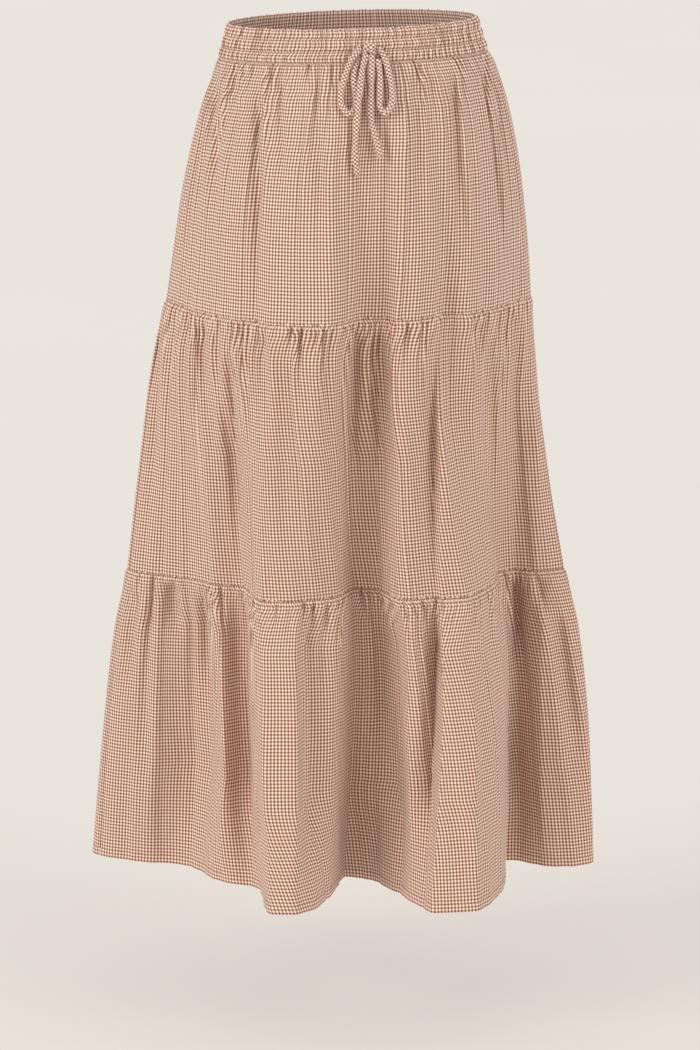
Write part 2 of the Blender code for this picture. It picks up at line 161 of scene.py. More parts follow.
TAIL_LEFT = (
    Route(16.7, 10.3, -7.0),
    Route(12.0, 13.0, -26.0),
    Route(10.6, 14.5, -40.0),
    Route(8.6, 14.5, -56.0),
    Route(7.6, 13.5, -68.0),
    Route(5.9, 9.5, -88.0),
    Route(5.3, 8.0, -108.0),
    Route(7.4, 7.5, -129.0),
)
TAIL_RIGHT = (
    Route(22.8, 10.5, -7.7),
    Route(22.2, 8.5, -31.0),
    Route(21.2, 8.0, -55.0),
    Route(21.8, 7.5, -74.0),
    Route(27.5, 7.5, -94.0),
    Route(31.7, 7.5, -111.0),
)

# ------------------------------------------------------------------ finer form of the cloth

CLOTH_THICKNESS = 0.7
CHECK_REPEAT = 3.65

# A long step in the front's cloth, down to the hem: how wide its left and right slopes are, and
# where it lies across and how deep it is at each of the six heights. A negative depth is a ridge.
# The part has these steps too, but for the ridge, and most of them less deep.
STEP_HEIGHTS = (-281.0, -430.0, -578.0, -630.0, -785.0, -900.0)
Step = namedtuple("Step", "name left right x_1 in_1 x_2 in_2 x_3 in_3 x_4 in_4 x_5 in_5 x_6 in_6")
STEPS = (
    Step("left tread", 64, 16, -170, 0, -165, 4, -161, 5, -154, 29, -150, 43, -162, 10),
    Step("ledge valley", 33, 8, -131, 3, -119, 18, -113, 12, -110, 42, -107, 48, -103, 8),
    Step("first fold, shelf", 13, 40, -62, 0, -56, 0, -47, 5, -44, 24, -43, 34, -45, 8),
    Step("first fold, lip", 24, 12, -20, 0, -18, -1, -16, 0, -17, -3, -18, -8, -18, -2),
    Step("second fold, foot", 23, 11, 38, 3, 42, 12, 47, 1, 49, 28, 53, 38, 58, 4),
    Step("second fold, shelf", 29, 8, 89, 3, 87, 14, 90, 8, 92, 30, 86, 44, 77, 7),
    Step("second fold, heel", 8, 24, 132, 0, 132, 2, 136, 3, 140, 9, 140, 12, 142, 4),
    Step("right hollow", 26, 24, 176, 5, 177, 22, 179, 15, 183, 18, 184, 26, 186, 8),
)
# The steps grow from nothing at this drop to their full depth at the first seam
STEPS_FROM = 190.0

# A crease or valley of one tier: where it lies across at its top and foot, how far below the
# tier's top seam it starts and ends, how deep it is, and how wide its left and right slopes
# are, as seen from outside. It is deepest near its start, and widens and fades towards its end.
Crease = namedtuple("Crease", "tier side x_top x_foot start end depth left right")
CREASES = (
    Crease("tier1", "front", -158, -163, 40, 250, 9.0, 9, 6),
    Crease("tier1", "front", -141, -140, 3, 170, 18.0, 9, 4),
    Crease("tier1", "front", -118, -122, 2, 60, 7.0, 6, 4),
    Crease("tier1", "front", -107, -109, 2, 60, 4.0, 5, 4),
    Crease("tier1", "front", -94, -97, 3, 300, 12.5, 8, 3.5),
    Crease("tier1", "front", -71, -70, 2, 150, 7.0, 5, 3.5),
    Crease("tier1", "front", -53, -53, 2, 45, 3.0, 4, 4),
    Crease("tier1", "front", -35, -31, 2, 200, 6.0, 6, 4),
    Crease("tier1", "front", -8, -6, 60, 275, 3.0, 12, 8),
    Crease("tier1", "front", 36, 41, 40, 270, 5.5, 8, 5),
    Crease("tier1", "front", 68, 77, 2, 210, 8.0, 7, 4),
    Crease("tier1", "front", 84, 90, 2, 160, 5.0, 6, 4),
    Crease("tier1", "front", 106, 129, 2, 275, 12.0, 8, 3.5),
    Crease("tier1", "front", 137, 162, 4, 220, 12.0, 8, 3.5),
    Crease("tier1", "front", 150, 164, 60, 262, 6.0, 8, 4),
    Crease("tier1", "front", 150, 168, 20, 160, 8.0, 7, 4),
    Crease("tier1", "back", -132, -150, 4, 190, 6.0, 8, 6),
    Crease("tier1", "back", -98, -106, 2, 90, 4.0, 6, 4),
    Crease("tier1", "back", -66, -70, 6, 260, 8.0, 8, 5),
    Crease("tier1", "back", -40, -39, 2, 80, 3.4, 5, 4),
    Crease("tier1", "back", -14, -12, 3, 150, 5.0, 7, 5),
    Crease("tier1", "back", 9, 13, 2, 70, 3.4, 4, 4),
    Crease("tier1", "back", 38, 44, 5, 250, 8.0, 7, 6),
    Crease("tier1", "back", 70, 76, 2, 90, 3.8, 5, 4),
    Crease("tier1", "back", 96, 108, 3, 180, 5.0, 6, 5),
    Crease("tier1", "back", 128, 146, 4, 230, 6.5, 7, 6),
    Crease("tier2", "front", -204, -214, 10, 290, 9.0, 8, 4),
    Crease("tier2", "front", -154, -152, 4, 140, 17.0, 9, 4),
    Crease("tier2", "front", -138, -150, 3, 200, 8.0, 7, 4),
    Crease("tier2", "front", -89, -86, 3, 130, 11.0, 7, 3.5),
    Crease("tier2", "front", -124, -103, 20, 310, 11.5, 12, 4),
    Crease("tier2", "front", -69, -61, 10, 310, 7.0, 9, 10),
    Crease("tier2", "front", -53, -52, 3, 45, 3.0, 4, 4),
    Crease("tier2", "front", -36, -36, 3, 42, 3.5, 5, 4),
    Crease("tier2", "front", -22, -21, 3, 45, 3.0, 4, 4),
    Crease("tier2", "front", 7, 2, 4, 190, 9.0, 6, 4),
    Crease("tier2", "front", 33, 37, 6, 200, 7.5, 9, 5),
    Crease("tier2", "front", 60, 60, 3, 60, 3.5, 5, 5),
    Crease("tier2", "front", 90, 86, 4, 330, 6.0, 8, 4),
    Crease("tier2", "front", 134, 139, 3, 110, 9.0, 8, 4),
    Crease("tier2", "front", 148, 156, 10, 300, 6.0, 7, 4),
    Crease("tier2", "back", -170, -186, 8, 230, 8.0, 9, 6),
    Crease("tier2", "back", -134, -142, 4, 100, 5.0, 6, 5),
    Crease("tier2", "back", -108, -112, 4, 60, 3.6, 5, 4),
    Crease("tier2", "back", -82, -90, 6, 290, 12.0, 14, 7),
    Crease("tier2", "back", -45, -46, 4, 100, 5.0, 6, 5),
    Crease("tier2", "back", -18, -14, 6, 250, 9.0, 12, 7),
    Crease("tier2", "back", 14, 15, 4, 60, 4.0, 5, 4),
    Crease("tier2", "back", 42, 50, 6, 280, 12.0, 8, 14),
    Crease("tier2", "back", 78, 84, 4, 90, 5.0, 5, 5),
    Crease("tier2", "back", 112, 120, 6, 260, 10.0, 8, 10),
    Crease("tier2", "back", 150, 166, 4, 150, 6.0, 6, 6),
    Crease("tier3", "front", -232, -244, 12, 150, 7.0, 7, 5),
    Crease("tier3", "front", -214, -224, 10, 260, 8.0, 8, 5),
    Crease("tier3", "front", -190, -187, 3, 70, 12.0, 8, 5),
    Crease("tier3", "front", -153, -149, 4, 150, 12.0, 8, 4),
    Crease("tier3", "front", -62, -62, 3, 50, 4.0, 5, 4),
    Crease("tier3", "front", -39, -38, 3, 45, 4.0, 5, 4),
    Crease("tier3", "front", -26, -24, 3, 60, 4.0, 5, 4),
    Crease("tier3", "front", 28, 38, 4, 240, 10.0, 10, 9),
    Crease("tier3", "front", 139, 160, 30, 300, 3.0, 6, 4),
    Crease("tier3", "front", 224, 252, 40, 240, 8.0, 9, 6),
    Crease("tier3", "front", 182, 186, 4, 130, 17.0, 9, 6),
    Crease("tier3", "front", 206, 206, 3, 60, 6.0, 6, 5),
    Crease("tier3", "back", -222, -236, 6, 280, 9.0, 9, 6),
    Crease("tier3", "back", -172, -186, 5, 140, 7.0, 8, 5),
    Crease("tier3", "back", -126, -136, 6, 300, 13.0, 16, 8),
    Crease("tier3", "back", -84, -88, 5, 120, 6.0, 7, 5),
    Crease("tier3", "back", -36, -38, 6, 310, 12.0, 16, 8),
    Crease("tier3", "back", 10, 8, 5, 130, 6.0, 7, 5),
    Crease("tier3", "back", 48, 54, 6, 300, 12.0, 8, 14),
    Crease("tier3", "back", 96, 102, 5, 140, 6.0, 6, 7),
    Crease("tier3", "back", 144, 156, 6, 310, 13.0, 9, 16),
    Crease("tier3", "back", 196, 212, 5, 200, 7.0, 7, 8),
)

# ------------------------------------------------------------------ curves and rings

RING_POINTS = 2401
LINE_POINTS = 1601
# Even places along a line, from 0 to 1, and how far each is from the nearer side seam
SHARE = np.linspace(0.0, 1.0, LINE_POINTS)
BY_SIDE = np.minimum(SHARE, 1 - SHARE)

# Shares of the way down a crease at which it is fully deep and starts to fade, and how much
# wider it is at its end
CREASE_FULL_AT = 0.16
CREASE_FADES_FROM = 0.40
CREASE_WIDENS = 0.5


def cubic(at, xs, ys, tangent):
    """Values at `at` of the cubic curve through (xs, ys) with the given slopes."""
    k = np.clip(np.searchsorted(xs, at) - 1, 0, len(xs) - 2)
    step = xs[k + 1] - xs[k]
    t = (at - xs[k]) / step
    return (
        ys[k] * (1 + 2 * t) * (1 - t) ** 2
        + ys[k + 1] * t * t * (3 - 2 * t)
        + step * t * (1 - t) * (tangent[k] * (1 - t) - tangent[k + 1] * t)
    )


def smooth_curve(at, xs, ys):
    """Cubic curve through (xs, ys) that is level at each crest and hollow."""
    at, xs, ys = (np.asarray(values, float) for values in (at, xs, ys))
    slope = np.diff(ys) / np.diff(xs)
    before, after = slope[:-1], slope[1:]
    steady = before * after > 0
    tangent = np.concatenate(([slope[0]], np.zeros(len(before)), [slope[-1]]))
    tangent[1:-1][steady] = 2 * before[steady] * after[steady] / (before[steady] + after[steady])
    return cubic(at, xs, ys, tangent)


def natural_curve(at, xs, ys):
    """Cubic curve through (xs, ys) whose slope follows the neighbours of each point."""
    return cubic(at, xs, ys, np.gradient(ys, xs))


def smoothstep(value, low, high):
    t = np.clip((np.asarray(value, float) - low) / (high - low), 0.0, 1.0)
    return t * t * (3 - 2 * t)


def running_total(steps):
    return np.concatenate(([0.0], np.cumsum(steps)))


def distances_along(line):
    """How far each point of a line is from its start, along it."""
    return running_total(np.linalg.norm(np.diff(line, axis=0), axis=1))


def points_at(at, along, line):
    """Points of a line at the distances `at`, where its own points lie at `along`."""
    return np.stack([np.interp(at, along, line[:, axis]) for axis in range(line.shape[1])], 1)


def evenly_spaced(line, count):
    """The same line with `count` points at equal distances along it."""
    along = distances_along(line)
    return points_at(np.linspace(0.0, along[-1], count), along, line)


def line_length(line):
    return float(np.linalg.norm(np.diff(line, axis=0), axis=1).sum())


def plan_normals(line):
    """Unit normals of a line seen from above, pointing out of the skirt."""
    along = np.gradient(line, axis=0)
    along /= np.linalg.norm(along, axis=1)[:, None]
    return np.stack((along[:, 1], -along[:, 0]), 1)


def section_at(sections, z):
    """Half width, half depth and shift of the ellipse at height z."""
    depths = [-row.z for row in sections]
    z = min(max(z, sections[-1].z), sections[0].z)
    return [
        float(smooth_curve([-z], depths, [getattr(row, column) for row in sections])[0])
        for column in ("half_width", "half_depth", "shift")
    ]


def fold_table_at(z):
    """Angles of the large folds, and how far each stands out, at height z."""
    drops = [BAND_HALF_HEIGHT] + [-tier.sections[-1].z for tier in TIERS]
    degrees = np.array([[row.deg_1, row.deg_1, row.deg_2, row.deg_3] for row in FOLDS], float)
    outs = np.array([[0.0, row.out_1, row.out_2, row.out_3] for row in FOLDS], float)
    deg = np.array([np.interp(-z, drops, row) for row in degrees])
    out = np.array([np.interp(-z, drops, row) for row in outs])
    return deg, out


def step_depths(x, z):
    """How far the long steps lie behind the large folds at places x across, at height z."""
    depth = np.zeros(len(x))
    heights = [-value for value in STEP_HEIGHTS]
    for step in STEPS:
        place = np.interp(-z, heights, step[3::2])
        full = np.interp(-z, heights, step[4::2]) * smoothstep(-z, STEPS_FROM, heights[0])
        off = x - place
        slope = np.clip(1 - np.where(off < 0, -off / step.left, off / step.right), 0.0, 1.0)
        depth += full * (0.6 * slope + 0.4 * slope * slope * (3 - 2 * slope))
    return depth


def ring(sections, z, first_deg, last_deg, creases=(), drop=0.0):
    """Points round part of the skirt at height z, with its folds, long steps and creases.

    The creases start from the tier's top seam, which z lies `drop` below.
    """
    half_width, half_depth, shift = section_at(sections, z)
    deg, out = fold_table_at(z)
    deg = np.concatenate((deg[-2:] - 360, deg, deg[:2] + 360))
    out = np.concatenate((out[-2:], out, out[:2]))
    at = np.linspace(first_deg, last_deg, RING_POINTS)
    reach = smooth_curve(at, deg, out)
    angle = np.radians(at)
    x = half_width * np.sin(angle)
    y = -half_depth * np.cos(angle)
    normal = np.stack((half_depth * np.sin(angle), -half_width * np.cos(angle)), 1)
    normal /= np.linalg.norm(normal, axis=1)[:, None]
    line = np.stack((x + shift, y), 1) + normal * reach[:, None]
    is_front = first_deg < 0
    if is_front:
        line[:, 1] += step_depths(line[:, 0], z)
    line = evenly_spaced(line, LINE_POINTS)
    inward = 1.0 if is_front else -1.0
    for crease in creases:
        share = (drop - crease.start) / (crease.end - crease.start)
        if 0.0 < share < 1.0:
            place = crease.x_top + (crease.x_foot - crease.x_top) * share
            fades = smoothstep(share, CREASE_FADES_FROM, 1.0)
            depth = crease.depth * smoothstep(share, 0.0, CREASE_FULL_AT) * (1 - fades)
            off = line[:, 0] - place
            near = np.where(off * inward < 0, off / crease.left, off / crease.right)
            near = near / (1 + CREASE_WIDENS * share)
            line[:, 1] += inward * depth * np.exp(-near ** 2)
    return line


def lift(x, z):
    """Height after the waist's tilt, which fades out towards the hem."""
    heights = [tier.sections[-1].z for tier in reversed(TIERS)] + [0.0]
    return z + WAIST_TILT * np.interp(z, heights, TILT_SHARES) * x


def front_of_skirt(x, z):
    """Y of the skirt's front at (x, z), before its gathers."""
    sections = BAND_SECTIONS if z > -BAND_HALF_HEIGHT else TIER_1.sections
    line = ring(sections, z, -60.0, 60.0)
    return float(np.interp(x, line[:, 0], line[:, 1]))


# ------------------------------------------------------------------ materials

WHITE_YARN = (0.94, 0.85, 0.79)
MIXED_YARN = (0.58, 0.350, 0.262)
BROWN_YARN = (0.23, 0.060, 0.022)
# The lower tiers have more cloth in their folds. Their cloth is painted darker and warmer than the
# top tier's: painted shade for the light that warms between those folds.
UPPER_SHADE = (1.0, 0.985, 0.965)
LOWER_PAINTED_SHADE = (0.99, 0.95, 0.91)
CORD_SHADE = (1.04, 1.03, 1.02)
LIGHT_THREAD = (0.62, 0.38, 0.29)
DARK_THREAD = (0.36, 0.17, 0.11)

# How sharp the check's edges are, how much of the colour its upright and its level stripes
# give, how much that varies, and the yarns in one repeat
STRIPE_SHARPNESS = 2.2
UPRIGHT_SHARE = 0.56
LEVEL_SHARE = 0.44
SLUB = 0.16
YARNS_PER_REPEAT = 5
CORD_REPEAT = 2.9


def link(tree, start, end):
    tree.links.new(start, end)


def new_material(name, roughness):
    """A new material, its node tree and its shader."""
    material = bpy.data.materials.new(name)
    material.use_nodes = True
    tree = material.node_tree
    shader = tree.nodes["Principled BSDF"]
    shader.inputs["Roughness"].default_value = roughness
    return material, tree, shader


def add_node(tree, kind, values=(), vector=None):
    """A new node with some inputs set, placed by the output `vector`."""
    node = tree.nodes.new(kind)
    for name, value in dict(values).items():
        node.inputs[name].default_value = value
    if vector is not None:
        link(tree, vector, node.inputs["Vector"])
    return node


def math_node(tree, operation, *values, clamp=False):
    """Output of a calculation on numbers and on other nodes' outputs."""
    node = tree.nodes.new("ShaderNodeMath")
    node.operation = operation
    node.use_clamp = clamp
    for socket, value in zip(node.inputs, values):
        if isinstance(value, (int, float)):
            socket.default_value = value
        else:
            link(tree, value, socket)
    return node.outputs[0]


def colour_ramp(tree, amount, colours):
    """Colour that goes evenly through `colours` as the output `amount` goes from 0 to 1."""
    node = tree.nodes.new("ShaderNodeValToRGB")
    for k in range(1, len(colours) - 1):
        node.color_ramp.elements.new(k / (len(colours) - 1))
    for stop, colour in zip(node.color_ramp.elements, colours):
        stop.color = (*colour, 1.0)
    link(tree, amount, node.inputs["Fac"])
    return node.outputs["Color"]


def bumped(tree, height, strength, distance, normal=None):
    """Normal of a surface that the output `height` makes uneven, on top of `normal`."""
    node = add_node(tree, "ShaderNodeBump", {"Strength": strength, "Distance": distance})
    link(tree, height, node.inputs["Height"])
    if normal is not None:
        link(tree, normal, node.inputs["Normal"])
    return node.outputs["Normal"]


def gingham(name, shade, bias=False, crinkle=1.0, repeat=CHECK_REPEAT):
    """Small woven check: cream and brown yarns, a plain weave, and soft wrinkles."""
    material, tree, shader = new_material(name, 0.86)
    shader.inputs["Metallic"].default_value = 0.0
    shader.inputs["Specular IOR Level"].default_value = 0.25
    shader.inputs["Sheen Weight"].default_value = 0.18
    shader.inputs["Sheen Roughness"].default_value = 0.5
    flat = tree.nodes.new("ShaderNodeUVMap")
    flat.uv_map = "cloth"
    turned = (0.0, 0.0, math.radians(45.0) if bias else 0.0)
    place = add_node(tree, "ShaderNodeMapping", {"Rotation": turned}, flat.outputs["UV"])
    split = add_node(tree, "ShaderNodeSeparateXYZ", vector=place.outputs["Vector"])
    stripes, yarns = [], []
    for axis in ("X", "Y"):
        turn = math_node(tree, "MULTIPLY", split.outputs[axis], 2 * math.pi / (repeat * MM))
        wave = math_node(tree, "SINE", turn)
        steep = math_node(tree, "MULTIPLY", wave, STRIPE_SHARPNESS)
        stripes.append(math_node(tree, "ADD", steep, 0.5, clamp=True))
        yarn = math_node(tree, "MULTIPLY", turn, YARNS_PER_REPEAT)
        yarns.append(math_node(tree, "SINE", yarn))
    upright = math_node(tree, "MULTIPLY", stripes[0], UPRIGHT_SHARE)
    amount = math_node(tree, "MULTIPLY_ADD", stripes[1], LEVEL_SHARE, upright)
    uneven = add_node(
        tree, "ShaderNodeTexNoise", {"Scale": 900.0, "Detail": 2.0}, place.outputs["Vector"])
    slub = math_node(tree, "MULTIPLY_ADD", uneven.outputs["Fac"], SLUB, -SLUB / 2)
    amount = math_node(tree, "ADD", amount, slub, clamp=True)
    colours = [
        tuple(value * part for value, part in zip(yarn, shade))
        for yarn in (WHITE_YARN, MIXED_YARN, BROWN_YARN)
    ]
    link(tree, colour_ramp(tree, amount, colours), shader.inputs["Base Color"])
    stretch = add_node(
        tree, "ShaderNodeMapping", {"Scale": (1.0, 0.35, 1.0)}, flat.outputs["UV"])
    rumple = add_node(
        tree, "ShaderNodeTexNoise", {"Scale": 95.0, "Detail": 4.0, "Roughness": 0.55},
        stretch.outputs["Vector"])
    weave = math_node(tree, "MULTIPLY", *yarns)
    woven = bumped(tree, weave, 0.35, 0.00012)
    wrinkled = bumped(tree, rumple.outputs["Fac"], 0.5 * crinkle, 0.0022, woven)
    link(tree, wrinkled, shader.inputs["Normal"])
    return material


def thread_material():
    """Sewing thread: matt, twisted, a little lighter than the brown yarn."""
    material, tree, shader = new_material("sewing_thread", 0.7)
    shader.inputs["Sheen Weight"].default_value = 0.2
    place = tree.nodes.new("ShaderNodeTexCoord")
    twist = add_node(tree, "ShaderNodeTexNoise", {"Scale": 2500.0}, place.outputs["Object"])
    colour = colour_ramp(tree, twist.outputs["Fac"], (DARK_THREAD, LIGHT_THREAD))
    link(tree, colour, shader.inputs["Base Color"])
    link(tree, bumped(tree, twist.outputs["Fac"], 0.4, 0.0001), shader.inputs["Normal"])
    return material


CLOTH = gingham("gingham_cotton", UPPER_SHADE)
BAND_CLOTH = gingham("gingham_cotton_band", UPPER_SHADE, crinkle=1.5)
BIAS_CLOTH = gingham("gingham_cotton_bias", CORD_SHADE, bias=True, crinkle=0.8, repeat=CORD_REPEAT)
# A copy of the cloth for the lower tiers, painted darker and warmer as painted shade
LOWER_CLOTH_PAINTED_SHADE = gingham("gingham_cotton_lower_painted_shade", LOWER_PAINTED_SHADE)
THREAD = thread_material()

# ------------------------------------------------------------------ mesh helpers


def add_mesh(name, points, faces, material, flats=None):
    """A mesh object from points in millimetres, with its flat pattern as the UV map `cloth`."""
    mesh = bpy.data.meshes.new(name)
    mesh.from_pydata((np.asarray(points) * MM).tolist(), [], faces)
    if flats is not None:
        corners = np.empty(len(mesh.loops), dtype=np.int32)
        mesh.loops.foreach_get("vertex_index", corners)
        layer = mesh.uv_layers.new(name="cloth")
        layer.data.foreach_set("uv", (np.asarray(flats)[corners] * MM).astype(np.float32).ravel())
    mesh.polygons.foreach_set("use_smooth", np.ones(len(mesh.polygons), dtype=bool))
    mesh.update()
    piece = bpy.data.objects.new(name, mesh)
    bpy.context.scene.collection.objects.link(piece)
    mesh.materials.append(material)
    return piece


def grid_faces(across, down):
    """Quads of a grid of `down` rows of `across` points."""
    return [
        (k, k + across, k + across + 1, k + 1)
        for row in range(down - 1)
        for k in range(row * across, row * across + across - 1)
    ]


def shifted(faces, start):
    """The same faces, for points that come after `start` others."""
    return [tuple(start + k for k in face) for face in faces]


# ------------------------------------------------------------------ camera

# In front of the skirt and above it, looking down on it by about 12 degrees
CAMERA_LENS = 162.0
CAMERA_SENSOR = 36.0
CAMERA_PLACE = (0.0, -5.0, 0.537)
CAMERA_TILT = 77.96

camera_data = bpy.data.cameras.new("camera")
camera_data.lens = CAMERA_LENS
camera_data.sensor_width = CAMERA_SENSOR
camera = bpy.data.objects.new("camera", camera_data)
camera.location = CAMERA_PLACE
camera.rotation_euler = (math.radians(CAMERA_TILT), 0.0, 0.0)
bpy.context.scene.collection.objects.link(camera)
bpy.context.scene.camera = camera

# ------------------------------------------------------------------ drawstring

CORD_HALF_WIDTH = 3.3
CORD_HALF_THICKNESS = 2.1
CORD_FACING = (0, -1, 0.1)
CORD_GIRTH = 17.5
CORD_POINT_SPACING = 1.2

TUBE_SIDES = 20
SQUARENESS = 0.85
# A free end narrows over its last ROUNDING to FLAT_END of its width
ROUNDING = 2.2
FLAT_END = 0.35

# The knot's two wraps: place across, slant in degrees, half width, reach to the front and
# back, half height, shift up. Then the half sizes of the core that they go round.
KNOT_WRAPS = (
    (2.9, -16.0, 3.5, 4.6, 5.3, 0.0),
    (-3.3, 20.0, 3.3, 4.1, 4.9, 0.6),
)
WRAP_HALF_THICKNESS = 1.5
KNOT_CORE = (6.6, 4.0, 4.8)
CORE_RINGS = 8


def cord_path(route):
    """Even points along a smooth curve through a route's corners, in front of the skirt."""
    corners = np.array([(row.x, front_of_skirt(row.x, row.z) - row.out, row.z) for row in route])
    along = distances_along(corners)
    fine = np.linspace(0, along[-1], 600)
    path = np.stack([natural_curve(fine, along, corners[:, axis]) for axis in range(3)], 1)
    return evenly_spaced(path, round(line_length(path) / CORD_POINT_SPACING))


def squarer(value):
    """A sine or cosine, so that a tube's section is a little squarer than an ellipse."""
    return math.copysign(abs(value) ** SQUARENESS, value)


def tube(path, half_width, half_thickness, facing, twist=0.0, phase=0.0, free_end=False):
    """Points, flat places and faces of a flattened tube of cloth along a path."""
    along = np.gradient(path, axis=0)
    along /= np.linalg.norm(along, axis=1)[:, None]
    facing = np.broadcast_to(np.asarray(facing, float), path.shape)
    out = facing - (facing * along).sum(1)[:, None] * along
    out /= np.linalg.norm(out, axis=1)[:, None]
    side = np.cross(along, out)
    walked = distances_along(path)
    turn = np.linspace(0, 2 * math.pi, TUBE_SIDES + 1)
    points, flats = [], []
    for k, centre in enumerate(path):
        roll = twist * math.sin(walked[k] / 17.0 + phase)
        wide = half_width * (1 + 0.07 * math.sin(walked[k] / 6.1 + 2 * phase))
        thick = half_thickness * (1 + 0.10 * math.sin(walked[k] / 4.3 + phase))
        shrink = 1.0
        if free_end:
            shrink = math.sqrt(min(1.0, (walked[-1] - walked[k] + 0.15) / ROUNDING))
        for angle in turn:
            a = wide * (FLAT_END + (1 - FLAT_END) * shrink) * squarer(math.cos(angle))
            b = thick * shrink * squarer(math.sin(angle))
            across = a * math.cos(roll) - b * math.sin(roll)
            high = a * math.sin(roll) + b * math.cos(roll)
            points.append(centre + side[k] * across + out[k] * high)
            flats.append((angle / (2 * math.pi) * CORD_GIRTH, walked[k]))
    faces = grid_faces(TUBE_SIDES + 1, len(path))
    last = (len(path) - 1) * (TUBE_SIDES + 1)
    faces.append(tuple(range(TUBE_SIDES)))
    faces.append(tuple(last + k for k in reversed(range(TUBE_SIDES))))
    return np.array(points), np.array(flats), faces


def add_cord(name, path, twist, phase, free_end):
    points, flats, faces = tube(
        path, CORD_HALF_WIDTH, CORD_HALF_THICKNESS, CORD_FACING, twist, phase, free_end)
    return add_mesh(name, points, faces, BIAS_CLOTH, flats)


def add_knot():
    """The knot of the bow: one wrap of the flattened tube beside a second, slanting one."""
    knot_x, knot_z = KNOT_CENTRE
    middle = np.array([knot_x, front_of_skirt(knot_x, knot_z) - KNOT_OUT, knot_z])
    points, flats, faces = [], [], []
    turn = np.linspace(0, 2 * math.pi, 49)
    outward = np.stack((np.zeros(len(turn)), -np.cos(turn), np.sin(turn)), 1)
    for across, slant, half_width, reach, half_height, up in KNOT_WRAPS:
        tilt = 0.6 * math.tan(math.radians(slant))
        path = np.stack((
            across + np.sin(turn) * half_height * tilt,
            -np.cos(turn) * reach,
            up + np.sin(turn) * half_height,
        ), 1)
        wrap, places, quads = tube(path + middle, half_width, WRAP_HALF_THICKNESS, outward)
        faces.extend(shifted(quads, len(points)))
        points.extend(wrap)
        flats.extend(places)
    faces.extend(shifted(grid_faces(TUBE_SIDES + 1, CORE_RINGS + 1), len(points)))
    core_x, core_y, core_z = KNOT_CORE
    for row in range(CORE_RINGS + 1):
        slope = math.pi * row / CORE_RINGS
        for k in range(TUBE_SIDES + 1):
            angle = 2 * math.pi * k / TUBE_SIDES
            points.append(middle + np.array([
                -core_x * math.cos(slope),
                core_y * math.sin(slope) * math.cos(angle),
                core_z * math.sin(slope) * math.sin(angle),
            ]))
            flats.append((1.0 * k, 2.0 * row))
    return add_mesh("drawstring_knot_wrap", points, faces, BIAS_CLOTH, flats)


knot = add_knot()
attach(knot, "root")
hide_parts("drawstring_knot")

# Node, route, twist and phase of the tube, and what its far end is
CORDS = (
    ("drawstring_loop_left", LOOP_LEFT, 0.25, 0.4, "object"),
    ("drawstring_loop_right", LOOP_RIGHT, 0.30, 1.9, "object"),
    ("drawstring_tail_left", TAIL_LEFT, 0.45, 0.9, "bare"),
    ("drawstring_tail_right", TAIL_RIGHT, 0.30, 2.6, "bare"),
)
for node, route, twist, phase, far_end in CORDS:
    path = cord_path(route)
    piece = add_cord(node + "_cloth", path, twist, phase, far_end == "bare")
    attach(piece, "root")
    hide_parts(node)

# ------------------------------------------------------------------ tiers

# Half of the skirt, its angles, and what makes its gathers uneven in a way of its own
HALVES = (("front", (-90.0, 90.0), 1.1), ("back", (90.0, 270.0), 2.7))

# Rows of a panel's points: above the top seam, and above the lower edge
TUCKED_ROWS = (-2.5, -1.2)
EDGE_ROWS = (9.6, 8.8, 7.5, 6.0, 4.5, 3.2, 2.2, 1.4, 0.7, 0.0)
BODY_ENDS = 12.0
HEM_DEPTH = 9.0

# Width of the fine puckers, of the close gathers and of the broad ones, and the height of the
# broad ones. Then the close ones: depth and the drop at which they are fully there, for the
# top tier and for the lower ones, and how far down they reach.
FINE_WIDTH = 5.6
CLOSE_WIDTH = 11.5
BROAD_WIDTH = 29.0
BROAD_HEIGHT = 1.9
CLOSE_DEPTH_TOP = 7.0
CLOSE_DEPTH_LOWER = 8.5
GROWN_TOP = 2.8
GROWN_LOWER = 5.0
CLOSE_REACH = 40.0
SHORTEST_REACH = 10.0
# Points of a line over which its run is averaged
NEARBY = 81

Gathers = namedtuple("Gathers", "fine broad pinch taper spare_at_top spare_below reach")


def row_drops(tier):
    """Drops of a panel's rows below its top seam, which lie closer under it and at the edge."""
    whole = tier.sections[0].z - tier.sections[-1].z
    body = np.linspace(0.0, 1.0, tier.rows) ** 1.3 * (whole - BODY_ENDS)
    above = [] if tier is TIER_1 else TUCKED_ROWS
    return np.concatenate((above, body, whole - np.array(EDGE_ROWS)))


def uneven_waves(per_panel, variation):
    """Uneven waves along a panel, about `per_panel` of them, at an overall height of 1."""
    turn = 2 * math.pi * SHARE
    wander = 1.9 * np.sin(3 * turn + variation) + 1.3 * np.sin(8 * turn + 2 * variation)
    wander += 0.8 * np.sin(17 * turn + 5 * variation)
    height = 0.70 + 0.45 * np.sin(5 * turn + variation) * np.sin(13 * turn + 4 * variation)
    height += 0.30 * np.sin(31 * turn + 2 * variation)
    return height * np.sin(per_panel * turn + 2.4 * wander)


